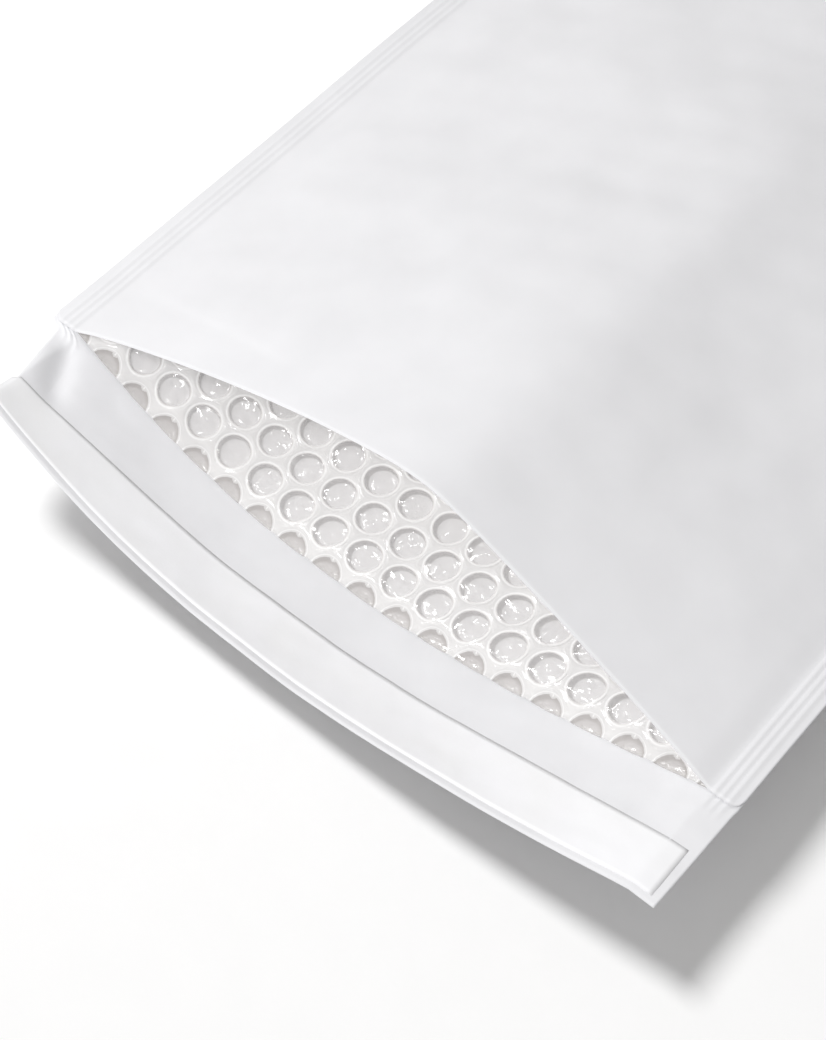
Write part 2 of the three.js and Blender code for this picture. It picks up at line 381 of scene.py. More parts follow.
    def lip(self, across: np.ndarray) -> np.ndarray:
        """Scoop * (1 - across^2) + the seam corners' r - sqrt(r^2 - into^2).

        Args:
            across: places across.

        Returns:
            How far from the mouth line the front panel starts.
        """
        radius = self.lip_corner
        past = np.maximum(np.abs(across) - 1.0, 0.0) * self.seam_width
        into = np.clip(past - (self.seam_width - radius), 0.0, radius)
        corner = radius - np.sqrt(np.maximum(radius**2 - into**2, 0.0))
        return self.lip_scoop * crown(across) + corner

    def flap_height(self, x: np.ndarray, share: np.ndarray) -> np.ndarray:
        """The mouth's curve + lift * share^2, so that the flap curls up towards its free edge.

        Args:
            x: places across, in millimetres.
            share: 0 at the mouth line to 1 at the free edge.

        Returns:
            The flap's height, with its wrinkles.
        """
        across = np.clip(x / self.half_chord_mouth, -1.0, 1.0)
        side = np.where(across < 0.0, self.flap_lift_left, self.flap_lift_right)
        lift = self.flap_lift_middle + (side - self.flap_lift_middle) * across**2
        height = self.back_at_mouth(across) + lift * share**2 + self.flap_wrinkles(x, share)
        return np.maximum(height, self.low)

    def flap_wrinkles(self, x: np.ndarray, share: np.ndarray) -> np.ndarray:
        """Two bands of waves and the flap's own creases, which fade in from the mouth line.

        Args:
            x: places across, in millimetres.
            share: 0 at the mouth line to 1 at the free edge.

        Returns:
            How far the flap is lifted.
        """
        y = -share * self.flap_length_middle
        total = self.flap_broad_waves * Waves(SEED + 3, 18.0, 60.0, 12).height(x, y)
        total = total + self.flap_small_waves * Waves(SEED + 4, 6.0, 15.0, 14).height(x, y)
        for crease in FLAP_CREASES:
            total = total + crease.lift(x, y)
        return total * smoothstep(share / 0.12)

    def flap_length(self, across: np.ndarray) -> np.ndarray:
        """The flap is longest in the middle, because its free edge bows out."""
        return lerp(self.flap_length_side, self.flap_length_middle, crown(across))


# The hand-made dent at the flap's left end, and the small creases at its right end.
FLAP_CREASES = (
    Crease(x=-103.5, y=-12.0, turn=113.0, length=25.0, width=3.4, height=-1.7),
    Crease(x=-108.0, y=-17.0, turn=108.0, length=18.0, width=2.6, height=0.4),
    Crease(x=-94.0, y=-10.0, turn=106.0, length=20.0, width=4.5, height=0.2),
    Crease(x=92.0, y=-9.0, turn=62.0, length=13.0, width=1.8, height=0.35),
    Crease(x=97.0, y=-11.0, turn=75.0, length=14.0, width=1.5, height=-0.3),
    Crease(x=101.0, y=-10.0, turn=85.0, length=12.0, width=1.6, height=0.3),
)


# ---------------------------------------------------------------- meshes


def make_piece(
    name: str, points: np.ndarray, faces: list[np.ndarray], smooth: bool | np.ndarray = True
) -> bpy.types.Object:
    """A Blender object from points in millimetres and faces of any number of corners.

    Args:
        name: the piece's name.
        points: an (n, 3) array of places in millimetres.
        faces: arrays of corner numbers, one array for each number of corners.
        smooth: whether the surface is shaded smooth, for all faces or for each.

    Returns:
        The object, standing at the origin.
    """
    sizes = np.concatenate([np.full(len(f), f.shape[1]) for f in faces])
    loops = np.concatenate([f.ravel() for f in faces])
    starts = np.concatenate([[0], np.cumsum(sizes)[:-1]])
    mesh = bpy.data.meshes.new(name)
    mesh.vertices.add(len(points))
    mesh.vertices.foreach_set("co", (points * MM).astype(np.float32).ravel())
    mesh.loops.add(len(loops))
    mesh.loops.foreach_set("vertex_index", loops.astype(np.int32))
    mesh.polygons.add(len(sizes))
    mesh.polygons.foreach_set("loop_start", starts.astype(np.int32))
    mesh.update(calc_edges=True)
    mesh.validate()
    mesh.polygons.foreach_set("use_smooth", np.broadcast_to(smooth, len(mesh.polygons)).copy())
    piece = bpy.data.objects.new(name, mesh)
    bpy.context.scene.collection.objects.link(piece)
    return piece


def add_attribute(piece: bpy.types.Object, name: str, values: np.ndarray) -> None:
    """Stores one number for each vertex of a piece, for its material to read."""
    attribute = piece.data.attributes.new(name, "FLOAT", "POINT")
    attribute.data.foreach_set("value", values.astype(np.float32))


def grid_normals(points: np.ndarray) -> np.ndarray:
    """The cross product of a grid's two tangents, as unit vectors.

    Args:
        points: a (rows, columns, 3) array of places.

    Returns:
        An array of the same shape.
    """
    down = np.gradient(points, axis=0)
    sideways = np.gradient(points, axis=1)
    normals = np.cross(sideways, down)
    return normals / np.maximum(np.linalg.norm(normals, axis=2, keepdims=True), 1e-9)


def closed_sheet(name: str, points: np.ndarray, thickness: float) -> bpy.types.Object:
    """A sheet about a grid: both skins at p +- n * thickness / 2, closed round its border by a flat wall.

    Args:
        name: the piece's name.
        points: the (rows, columns, 3) middle surface, in millimetres.
        thickness: the sheet's thickness, in millimetres.

    Returns:
        The closed sheet as an object.
    """
    rows, columns = points.shape[:2]
    normals = grid_normals(points)
    top = (points + normals * thickness / 2.0).reshape(-1, 3)
    bottom = (points - normals * thickness / 2.0).reshape(-1, 3)
    index = np.arange(rows * columns).reshape(rows, columns)
    a, b, c, d = index[:-1, :-1], index[:-1, 1:], index[1:, 1:], index[1:, :-1]
    upper = np.stack([a, b, c, d], axis=-1).reshape(-1, 4)
    lower = upper[:, ::-1] + rows * columns
    ring = np.concatenate([index[0, :-1], index[:-1, -1], index[-1, :0:-1], index[:0:-1, 0]])
    following = np.roll(ring, -1)
    wall = np.stack([following, ring, ring + rows * columns, following + rows * columns], axis=-1)
    smooth = np.arange(len(upper) * 2 + len(wall)) < len(upper) * 2
    return make_piece(name, np.concatenate([top, bottom]), [np.concatenate([upper, lower, wall])], smooth)


# ---------------------------------------------------------------- materials


def add_node(
    tree: bpy.types.NodeTree, kind: str, inputs: dict | None = None, **settings: object
) -> bpy.types.Node:
    """Adds a node with its settings, and links or sets its inputs.

    Args:
        tree: the node tree.
        kind: the node's type name.
        inputs: socket name or number to a value, or to the output socket that feeds it.
        settings: the node's own properties.

    Returns:
        The new node.
    """
    node = tree.nodes.new(kind)
    for name, value in settings.items():
        setattr(node, name, value)
    for name, value in (inputs or {}).items():
        if isinstance(value, bpy.types.NodeSocket):
            tree.links.new(value, node.inputs[name])
        else:
            node.inputs[name].default_value = value
    return node


def new_material(name: str) -> tuple[bpy.types.Material, bpy.types.NodeTree]:
    """An empty material with nodes, and its tree."""
    material = bpy.data.materials.new(name)
    material.use_nodes = True
    material.node_tree.nodes.clear()
    return material, material.node_tree


@dataclass(frozen=True)
class PaperFinish:
    """Bleached kraft paper, made on a wire and lightly pressed: matt, faintly cloudy, finely grained."""

    name: str
    colour: str
    cloud_colour: str
    roughness: float
    specular: float = 0.35
    cloud_mm: float = 16.0
    grain_mm: float = 0.9
    grain_height_mm: float = 0.012
    cockle_mm: float = 7.0
    cockle_height_mm: float = 0.05
    light_through: float = 0.0

    def build(self) -> bpy.types.Material:
        """Principled paper, whose colour is tinted by clouds and whose surface cockle and grain bump.

        Real grain is about 0.1 mm, too fine to show, so it is drawn coarser.

        Returns:
            The material.
        """
        material, tree = new_material(self.name)
        place = add_node(tree, "ShaderNodeTexCoord").outputs["Object"]
        cloud = add_node(
            tree,
            "ShaderNodeTexNoise",
            {"Vector": place, "Scale": 1.0 / (self.cloud_mm * MM), "Detail": 3.0},
        )
        shade = add_node(
            tree,
            "ShaderNodeMapRange",
            {"Value": cloud.outputs["Fac"], "From Min": 0.35, "From Max": 0.65},
        )
        colour = add_node(tree, "ShaderNodeValToRGB", {"Fac": shade.outputs["Result"]})
        colour.color_ramp.elements[0].color = linear(self.colour)
        colour.color_ramp.elements[1].color = linear(self.cloud_colour)
        grain = add_node(
            tree,
            "ShaderNodeTexNoise",
            {"Vector": place, "Scale": 1.0 / (self.grain_mm * MM), "Detail": 4.0},
        )
        cockle = add_node(
            tree,
            "ShaderNodeTexNoise",
            {"Vector": place, "Scale": 1.0 / (self.cockle_mm * MM), "Detail": 2.0},
        )
        wide = add_node(
            tree,
            "ShaderNodeBump",
            {"Height": cockle.outputs["Fac"], "Distance": self.cockle_height_mm * MM, "Strength": 1.0},
        )
        fine = add_node(
            tree,
            "ShaderNodeBump",
            {
                "Height": grain.outputs["Fac"],
                "Distance": self.grain_height_mm * MM,
                "Strength": 1.0,
                "Normal": wide.outputs["Normal"],
            },
        )
        surface = add_node(
            tree,
            "ShaderNodeBsdfPrincipled",
            {
                "Base Color": colour.outputs["Color"],
                "Roughness": self.roughness,
                "Specular IOR Level": self.specular,
                "IOR": 1.5,
                "Normal": fine.outputs["Normal"],
            },
        )
        shown = surface.outputs["BSDF"]
        if self.light_through > 0.0:
            through = add_node(tree, "ShaderNodeBsdfTranslucent", {"Color": linear(self.colour)})
            mixed = add_node(
                tree, "ShaderNodeMixShader", {0: self.light_through, 1: shown, 2: through.outputs["BSDF"]}
            )
            shown = mixed.outputs["Shader"]
        add_node(tree, "ShaderNodeOutputMaterial", {"Surface": shown})
        return material


@dataclass(frozen=True)
class BubbleFilmFinish:
    """Blown polythene film: clear and glossy over the bubbles, milky where its two layers are welded.

    `zones` gives, outwards from a bubble's centre in millimetres, a colour and how much it covers; most are
    milky film, some are painted shade.
    No place is farther than about 7.2 mm from a centre, so a zone past that is for marked places only.
    """

    name: str
    zones: tuple[tuple[float, str, float], ...]
    farthest_mm: float = 9.0
    pass_colour: str = "ffffff"
    roughness: float = 0.12
    specular: float = 0.5
    face_gloss: float = 0.06
    edge_gloss: float = 0.7
    crinkle_mm: float = 2.2
    crinkle_height_mm: float = 0.04

    def build(self) -> bpy.types.Material:
        """Clear film mixed with a milky Principled by the distance from a bubble's centre, under a gloss.

        The gloss grows with the fourth power of how far the film turns away from the eye.

        Returns:
            The material.
        """
        material, tree = new_material(self.name)
        place = add_node(tree, "ShaderNodeTexCoord").outputs["Object"]
        radius = add_node(tree, "ShaderNodeAttribute", attribute_name="bubble_radius").outputs["Fac"]
        share = add_node(tree, "ShaderNodeMapRange", {"Value": radius, "From Max": self.farthest_mm})
        colour = add_node(tree, "ShaderNodeValToRGB", {"Fac": share.outputs["Result"]})
        cover = add_node(tree, "ShaderNodeValToRGB", {"Fac": share.outputs["Result"]})
        for ramp in (colour.color_ramp, cover.color_ramp):
            ramp.elements.remove(ramp.elements[1])
            ramp.elements[0].position = self.zones[0][0] / self.farthest_mm
        for i, (reach, shade, solid) in enumerate(self.zones):
            at = reach / self.farthest_mm
            solid_grey = (solid, solid, solid, 1.0)
            for ramp, value in ((colour.color_ramp, linear(shade)), (cover.color_ramp, solid_grey)):
                stop = ramp.elements[0] if i == 0 else ramp.elements.new(at)
                stop.color = value
        crinkle = add_node(
            tree,
            "ShaderNodeTexNoise",
            {"Vector": place, "Scale": 1.0 / (self.crinkle_mm * MM), "Detail": 1.5, "Distortion": 1.2},
        )
        bump = add_node(
            tree,
            "ShaderNodeBump",
            {"Height": crinkle.outputs["Fac"], "Distance": self.crinkle_height_mm * MM, "Strength": 1.0},
        )
        milky = add_node(
            tree,
            "ShaderNodeBsdfPrincipled",
            {
                "Base Color": colour.outputs["Color"],
                "Roughness": self.roughness,
                "Specular IOR Level": self.specular,
                "IOR": 1.51,
                "Normal": bump.outputs["Normal"],
            },
        )
        shine = add_node(
            tree, "ShaderNodeBsdfGlossy", {"Roughness": self.roughness, "Normal": bump.outputs["Normal"]}
        )
        clear = add_node(tree, "ShaderNodeBsdfTransparent", {"Color": linear(self.pass_colour)})
        film = add_node(
            tree,
            "ShaderNodeMixShader",
            {0: cover.outputs["Color"], 1: clear.outputs["BSDF"], 2: milky.outputs["BSDF"]},
        )
        facing = add_node(tree, "ShaderNodeLayerWeight", {"Blend": 0.5, "Normal": bump.outputs["Normal"]})
        curve = add_node(tree, "ShaderNodeMath", {0: facing.outputs["Facing"], 1: 4.0}, operation="POWER")
        edge = add_node(
            tree,
            "ShaderNodeMath",
            {0: curve.outputs["Value"], 1: self.edge_gloss, 2: self.face_gloss},
            operation="MULTIPLY_ADD",
        )
        glossed = add_node(
            tree,
            "ShaderNodeMixShader",
            {0: edge.outputs["Value"], 1: film.outputs["Shader"], 2: shine.outputs["BSDF"]},
        )
        add_node(tree, "ShaderNodeOutputMaterial", {"Surface": glossed.outputs["Shader"]})
        return material


class Finish(Enum):
    """The finishes of the envelope's pieces and of the floor."""

    # A matt white sheet, thin enough to let a little of the light behind it through.
    PAPER = PaperFinish("bleached_kraft_paper", "f3f3f5", "f0f0f2", 0.62, light_through=0.16)
    # Glazed and coated with silicone, so smoother than the sheet below it, with a faint sheen.
    LINER = PaperFinish(
        "siliconised_release_paper", "f2f2f4", "f0f0f1", 0.42, specular=0.4, cockle_height_mm=0.03
    )
    # A poured rubber glue: yellowish and wet-looking, hidden by the liner.
    ADHESIVE = PaperFinish("hot_melt_adhesive", "e6dfc8", "ded6bd", 0.25, specular=0.5, grain_mm=1.5)
    # A painted studio floor, without shine or texture.
    FLOOR = PaperFinish("white_sweep", "fefefe", "fdfdfd", 0.9, specular=0.1, cockle_height_mm=0.0)
    # The smooth layer over the bubbles: clear inside each bubble, with a bright weld line round it and a
    # milky land between. The last zone is a painted shade, the grey of the bubbles cut open at the mouth.
    FLAT_FILM = BubbleFilmFinish(
        "clear_flat_polythene_film",
        (
            (4.6, "d9d6d4", 0.16),
            (5.0, "dcdad8", 0.6),
            (5.35, "f4f3f2", 0.6),
            (5.8, "dcdad8", 0.5),
            (7.3, "dcdad8", 0.5),
            (8.0, "a9a5a2", 0.55),
        ),
    )
    # The layer drawn into cups, seen through the smooth one: a painted shade darkens its steep sides, its
    # lands are clear.
    FORMED_FILM = BubbleFilmFinish(
        "clear_formed_polythene_film",
        ((4.1, "d9d6d4", 0.3), (4.5, "8e8884", 0.5), (5.1, "8e8884", 0.5), (5.3, "dcdad8", 0.05)),
        face_gloss=0.02,
    )


# ---------------------------------------------------------------- the paper sheet


@dataclass
class PaperEnvelope:
    """The folded paper: front panel, bottom fold, back panel and flap, as one sheet with crimped sides."""

    form: EnvelopeForm
    seam_columns: int = 16
    body_columns: int = 100
    front_rows: int = 130
    fold_rows: int = 10
    back_rows: int = 60
    flap_rows: int = 30
    flap_left: tuple[float, float] = (112.5, 105.0)
    flap_right: tuple[float, float] = (115.8, 115.0)
    shoulder_share: float = 0.05

    def columns(self) -> np.ndarray:
        """Places across, fine in the seams and evenly spaced between them."""
        body = np.linspace(-1.0, 1.0, self.body_columns + 1)
        body = 0.7 * body + 0.3 * np.sin(body * math.pi / 2.0)
        seam = np.linspace(1.0, 2.0, self.seam_columns + 1)[1:]
        return np.concatenate([-seam[::-1], body, seam])

    def front_panel(self) -> np.ndarray:
        """Rows from the front lip to the bottom fold, at shares 0.45 t + 0.55 t^2.2: closest at the mouth.

        Returns:
            The (rows, columns, 3) grid in millimetres.
        """
        across = self.columns()[None, :]
        t = np.linspace(0.0, 1.0, self.front_rows)[:, None]
        share = 0.45 * t + 0.55 * t**2.2
        end = self.form.length - self.form.fold_depth(across)
        along = lerp(self.form.lip(across), end, share)
        return self.place(across, along, self.form.front(across, along))

    def bottom_fold(self) -> np.ndarray:
        """Half an ellipse from the front panel's end down to the back panel's.

        Returns:
            The (rows, columns, 3) grid in millimetres.
        """
        across = self.columns()[None, :]
        angle = np.linspace(0.0, math.pi, self.fold_rows + 1)[1:-1, None]
        start = self.form.length - self.form.fold_depth(across)
        top, low = self.form.front(across, start), self.form.back(across, start)
        along = start + self.form.fold_depth(across) * np.sin(angle)
        height = lerp(low, top, (1.0 + np.cos(angle)) / 2.0)
        return self.place(across, along, height)

    def back_panel(self) -> np.ndarray:
        """Rows from the bottom fold to the mouth line, at shares 0.5 t + 0.5 t^2: closest at the mouth.

        Returns:
            The (rows, columns, 3) grid in millimetres.
        """
        across = self.columns()[None, :]
        t = np.linspace(1.0, 0.0, self.back_rows)[:, None]
        along = (self.form.length - self.form.fold_depth(across)) * (0.5 * t + 0.5 * t**2)
        return self.place(across, along, self.form.back(across, along))

    def flap(self) -> np.ndarray:
        """Rows from the mouth line to the flap's free edge, with tapered sides and a small shoulder.

        Returns:
            The (rows, columns, 3) grid in millimetres.
        """
        form = self.form
        share = np.linspace(0.0, 1.0, self.flap_rows + 1)[1:, None]
        across = self.columns()[None, :]
        at_mouth = form.x_of(across, np.zeros_like(across))
        turn = smoothstep(share / self.shoulder_share)
        edge_mouth = form.half_chord_mouth + form.seam_width
        left = lerp(edge_mouth, lerp(self.flap_left[0], self.flap_left[1], share), turn)
        right = lerp(edge_mouth, lerp(self.flap_right[0], self.flap_right[1], share), turn)
        x = np.where(at_mouth < 0.0, at_mouth * left / edge_mouth, at_mouth * right / edge_mouth)
        length = form.flap_length(np.clip(x / form.half_chord_mouth, -1.0, 1.0))
        flattened = form.crimp(across) * (1.0 - smoothstep(share / 0.2))
        height = form.flap_height(x, share) + flattened
        return np.stack([x, form.mouth_y - length * share, height], axis=-1)

    def place(self, across: np.ndarray, along: np.ndarray, height: np.ndarray) -> np.ndarray:
        """Places in the frame, in millimetres, from a place across, a distance along and a height."""
        x = self.form.x_of(across, along)
        return np.stack(np.broadcast_arrays(x, self.form.mouth_y + along, height), axis=-1)

    def build(self) -> bpy.types.Object:
        """The whole sheet, dressed and riding on the body."""
        rows = np.concatenate([self.front_panel(), self.bottom_fold(), self.back_panel(), self.flap()])
        piece = closed_sheet("paper_sheet", rows, self.form.paper)
        dress(piece, Finish.PAPER, "paper_envelope")
        return piece


# ---------------------------------------------------------------- the bubble lining


@dataclass(frozen=True)
class ArcTable:
    """Turns a distance across the flat film into a place across a curved panel.

    Each row of the table is one distance along, and holds `across` for evenly spaced shares of the arc
    from one seam line to the other.
    """

    rows: np.ndarray

    @classmethod
    def measure(cls, form: EnvelopeForm, is_front: bool, steps: int = 30, samples: int = 500) -> ArcTable:
        """Measures the arcs of a panel: the sum of sqrt(dx^2 + dz^2), turned round by interpolation.

        Args:
            form: the envelope's form.
            is_front: whether the front panel is measured, or else the back one.
            steps: how many distances along are measured.
            samples: how many places across are measured.

        Returns:
            The table.
        """
        across = np.linspace(-1.0, 1.0, samples)
        height = form.front if is_front else form.back
        rows = []
        for along in np.linspace(0.0, form.length, steps + 1):
            x = form.x_of(across, np.full(samples, along))
            z = height(across, np.full(samples, along))
            run = np.concatenate([[0.0], np.cumsum(np.hypot(np.diff(x), np.diff(z)))])
            rows.append(np.interp(np.linspace(0.0, 1.0, samples), run / run[-1], across))
        return cls(np.array(rows))

    def across(self, arc_share: np.ndarray, along_share: np.ndarray) -> np.ndarray:
        """Bilinear reading of the table.

        Args:
            arc_share: 0 at the left seam line to 1 at the right one.
            along_share: 0 at the mouth line to 1 at the closed end.

        Returns:
            The place across, from -1 to 1.
        """
        steps, samples = self.rows.shape
        i = clamp01(along_share) * (steps - 1)
        j = clamp01(arc_share) * (samples - 1)
        i0 = np.minimum(i.astype(int), steps - 2)
        j0 = np.minimum(j.astype(int), samples - 2)
        fi, fj = i - i0, j - j0
        near = lerp(self.rows[i0, j0], self.rows[i0, j0 + 1], fj)
        far = lerp(self.rows[i0 + 1, j0], self.rows[i0 + 1, j0 + 1], fj)
        return lerp(near, far, fi)


@dataclass(frozen=True)
class BubbleCell:
    """One six-sided cell of bubble film, as rings of points about the bubble's centre.

    Twelve points round its border, at the corners and the middles of the sides, are shared with its
    neighbours.
    """

    pitch: float
    radius: float
    segments: int
    rings: tuple[float, ...]

    def points(self) -> np.ndarray:
        """(reach cos turn, reach sin turn) of each point: centre, rings, then the border.

        Returns:
            The (n, 2) points about the cell's centre.
        """
        angles = np.arange(self.segments) * 2.0 * math.pi / self.segments
        reach = np.repeat(np.array(self.rings) * self.radius, self.segments)
        border = np.arange(12) * math.pi / 6.0
        apothem = self.pitch / 2.0
        border_reach = np.where(np.arange(12) % 2 == 0, apothem, apothem / math.cos(math.pi / 6.0))
        turns = np.concatenate([[0.0], np.tile(angles, len(self.rings)), border])
        reaches = np.concatenate([[0.0], reach, border_reach])
        return np.stack([reaches * np.cos(turns), reaches * np.sin(turns)], axis=-1)

    def triangles(self) -> np.ndarray:
        """A fan in the middle, two triangles between rings, and a strip out to the twelve border points.

        Returns:
            The corner numbers of each triangle.
        """
        n = self.segments
        step = np.arange(n)
        after = (step + 1) % n
        parts = [np.stack([np.zeros(n, int), 1 + step, 1 + after], axis=-1)]
        for ring in range(len(self.rings) - 1):
            inner, outer = 1 + ring * n, 1 + (ring + 1) * n
            parts.append(np.stack([inner + step, outer + step, outer + after], axis=-1))
            parts.append(np.stack([inner + step, outer + after, inner + after], axis=-1))
        last = 1 + (len(self.rings) - 1) * n
        border = 1 + len(self.rings) * n
        each = n // 12
        ring_step = last + step
        ring_after = last + after
        outer_of = border + ((step + each // 2) // each) % 12
        parts.append(np.stack([ring_step, outer_of, ring_after], axis=-1))
        corner = np.arange(12)
        switch = last + ((corner + 1) * each - each // 2) % n
        parts.append(np.stack([switch, border + corner, border + (corner + 1) % 12], axis=-1))
        return np.concatenate(parts)


@dataclass
class BubbleLining:
    """A bag of bubble film, laid out flat as rows of bubbles and then bent along the pocket's walls.

    A flat film lies towards the contents, and the formed film, whose cups are the bubbles, hangs below it.
    `u` is the distance across the web from its middle, and `v` the distance from its cut edge at the mouth.
    """

    form: EnvelopeForm
    flat_width: float = 222.0
    web: float = 7.0
    pitch: float = 12.4
    bubble_radius: float = 5.2
    bubble_height: float = 3.9
    film: float = 0.1
    first_row: float = -1.5
    first_column: float = -80.3
    lip_bulge: float = 4.9
    wall_gap: float = 0.14
    front_slack: float = 0.8
    sealed_slack: float = 0.12
    front_start: float = 22.0
    fold_run: float = 15.0
    fine_depth: float = 80.0
    backing_step: float = 7.0
    variety: int = 997
    slackness: float = 0.9
    sag: float = -1.1
    # Marks the bubbles cut open at the mouth, which take the flat film's painted shade.
    cut_open_shade_mark: float = 8.6
    cut_level: float = 0.14
    cut_reach: float = 7.5
    land_height: float = 0.22
    land_width: float = 1.2
    rumple_height: float = 0.35
    rumple_reach: float = 8.0
    lean: tuple[float, float] = (0.3, 1.3)
    depth_share: float = 0.7

    def __post_init__(self) -> None:
        """Measures the panels' arcs and the film's whole length."""
        self.row_step = self.pitch * math.sqrt(3.0) / 2.0
        self.back_run = self.form.length - self.form.fold_reach + self.lip_bulge
        to_front_lip = self.form.length - self.form.fold_reach - self.front_start
        self.total = self.back_run + self.fold_run + to_front_lip
        self.back_arcs = ArcTable.measure(self.form, is_front=False)
        self.front_arcs = ArcTable.measure(self.form, is_front=True)
        fine_rings = (0.35, 0.68, 0.84, 0.93, 0.98, 1.0)
        film_rings = (0.22, 0.44, 0.66, 0.82, 0.94, 1.06, 1.16)
        self.fine_cell = BubbleCell(self.pitch, self.bubble_radius, 24, fine_rings)
        self.plain_cell = BubbleCell(self.pitch, self.bubble_radius, 12, (0.86, 1.0))
        self.film_cell = BubbleCell(self.pitch, self.bubble_radius, 24, film_rings)

    def centres(self) -> tuple[np.ndarray, np.ndarray]:
        """The bubbles' centres, in rows a step apart, every other row shifted by half a pitch.

        Returns:
            u and v of each centre.
        """
        rows = np.arange(-1, int(self.total / self.row_step) + 3)
        half = int(self.flat_width / 2.0 / self.pitch) + 3
        columns = np.arange(-half, half + 1)
        row, column = np.meshgrid(rows, columns, indexing="ij")
        phase = self.first_column % self.pitch
        u = phase + column * self.pitch + np.where(row % 2 == 1, 0.0, self.pitch / 2.0)
        v = self.first_row + row * self.row_step
        return u.ravel(), v.ravel()

    def cells(self, u: np.ndarray, v: np.ndarray, cell: BubbleCell) -> tuple[np.ndarray, np.ndarray]:
        """Copies of a cell at each centre.

        Args:
            u: the centres' places across.
            v: the centres' distances from the cut edge.
            cell: the cell to repeat.

        Returns:
            Points (u, v) and triangles.
        """
        template, faces = cell.points(), cell.triangles()
        placed = np.stack([u, v], axis=-1)[:, None, :] + template[None]
        shift = np.arange(len(u))[:, None, None] * len(template)
        return placed.reshape(-1, 2), (faces[None] + shift).reshape(-1, 3)

    def flat_cells(self) -> tuple[np.ndarray, np.ndarray]:
        """All cells of the formed film, laid flat and welded.

        Returns:
            Points (u, v) and triangles.
        """
        u, v = self.centres()
        keep = (np.abs(u) < self.flat_width / 2.0 + self.web + self.pitch) & (v > -self.pitch)
        u, v = u[keep], v[keep]
        near = v < self.fine_depth
        points, faces = self.cells(u[near], v[near], self.fine_cell)
        deep_points, deep_faces = self.cells(u[~near], v[~near], self.plain_cell)
        faces = np.concatenate([faces, deep_faces + len(points)])
        points = np.concatenate([points, deep_points])
        keys = np.round(points * 500.0).astype(np.int64)
        _, first, inverse = np.unique(keys, axis=0, return_index=True, return_inverse=True)
        return points[first], inverse.ravel()[faces]

    def nearest(self, u: np.ndarray, v: np.ndarray) -> tuple[np.ndarray, np.ndarray, np.ndarray]:
        """The nearest bubble, from the two rows of the lattice on either side.

        Args:
            u: places across the flat film.
            v: distances from the cut edge.

        Returns:
            The distance to its centre, a number that is the same all over that bubble, and its row.
        """
        below = np.floor((v - self.first_row) / self.row_step)
        best = np.full(u.shape, np.inf)
        number = np.zeros(u.shape, dtype=int)
        chosen = np.zeros(u.shape)
        for row in (below, below + 1):
            offset = self.first_column % self.pitch + np.where(row % 2 == 1, 0.0, self.pitch / 2.0)
            column = np.round((u - offset) / self.pitch)
            reach = np.hypot(u - offset - column * self.pitch, v - self.first_row - row * self.row_step)
            closer = reach < best
            best = np.where(closer, reach, best)
            number = np.where(closer, ((row * 37 + column) % self.variety).astype(int), number)
            chosen = np.where(closer, row, chosen)
        return best, number, chosen

    def crinkle(self, u: np.ndarray, v: np.ndarray, number: np.ndarray) -> np.ndarray:
        """Sum of |sin(q_k . p + phase_k)| less its middle: sharp little folds, turned anew on each bubble.

        Args:
            u: places across the flat film.
            v: distances from the cut edge.
            number: the nearest bubble's number.

        Returns:
            The folds' height, about -1 to 1.
        """
        random = np.random.default_rng(SEED + 8)
        turns = random.random((5, self.variety)) * math.pi
        phases = random.random((5, self.variety)) * math.tau
        total = np.zeros_like(u)
        mean_of_sine = 0.64
        for k, length in enumerate((3.2, 3.9, 4.7, 5.6, 6.8)):
            turn, phase = turns[k][number], phases[k][number]
            way = u * np.cos(turn) + v * np.sin(turn)
            total += np.abs(np.sin(math.pi / length * way + phase)) - mean_of_sine
        return total * 0.3

    def level(self, u: np.ndarray, v: np.ndarray) -> np.ndarray:
        """The bubbles' height, less at the seams and nearly none at the cut edge, gently uneven.

        Args:
            u: places across the flat film.
            v: distances from the cut edge.

        Returns:
            How far the bubbles hold the flat film off the paper.
        """
        seam = smoothstep((self.flat_width / 2.0 - np.abs(u)) / 15.0)
        wander = 0.8 * Waves(SEED + 11, 9.0, 24.0, 9).height(u, v)
        cut = lerp(self.cut_level, 1.0, smoothstep((v + 0.8 + wander) / self.cut_reach))
        soft = 1.0 + 0.10 * Waves(SEED + 9, 16.0, 45.0, 9).height(u, v)
        return self.film * 2.0 + self.bubble_height * seam * cut * soft

    def heights(self, u: np.ndarray, v: np.ndarray) -> tuple[np.ndarray, np.ndarray]:
        """The flat film's and the formed film's heights above the paper.

        The formed film hangs below the flat one by D (1 - r^6)^0.5, with r the distance from a bubble's
        centre over its radius and D a share of the bubbles' height. The flat film is slack over each
        bubble: it bulges by (1 - r^2) and crinkles by (1 - r^6). It sags into the bubbles that were cut
        open along the mouth.

        Args:
            u: places across the flat film.
            v: distances from the cut edge.

        Returns:
            Both heights.
        """
        reach, number, row = self.nearest(u, v)
        random = np.random.default_rng(SEED + 7)
        swell = random.normal(0.6, 0.2, self.variety)[number]
        level = self.level(u, v)
        full = clamp01(level / self.bubble_height)
        r = clamp01(reach / self.bubble_radius)
        inside = 1.0 - r**2
        cut_open = np.where(row <= 0, 1.0, 0.0) + np.where(row == 1, 0.12, 0.0)
        crinkled = (1.0 - r**6) * self.crinkle(u, v, number) * self.slackness * (1.0 - cut_open)
        slack = inside * lerp(swell, self.sag, cut_open) + crinkled
        land = self.land_height * smoothstep((reach - self.bubble_radius) / self.land_width)
        humps = np.maximum(Waves(SEED + 10, 5.0, 11.0, 9).height(u, v), 0.0)
        rumple = self.rumple_height * humps * (1.0 - smoothstep(v / self.rumple_reach))
        top = level + (slack + land + rumple) * np.sqrt(full)
        top = np.maximum(top, self.film * 1.5)
        depth = (1.0 - r**6) ** 0.5 * (level - self.film * 1.2) * self.depth_share
        formed = np.maximum(np.minimum(level + land * np.sqrt(full), top) - self.film - depth, 0.03)
        return top, np.minimum(formed, top - self.film)

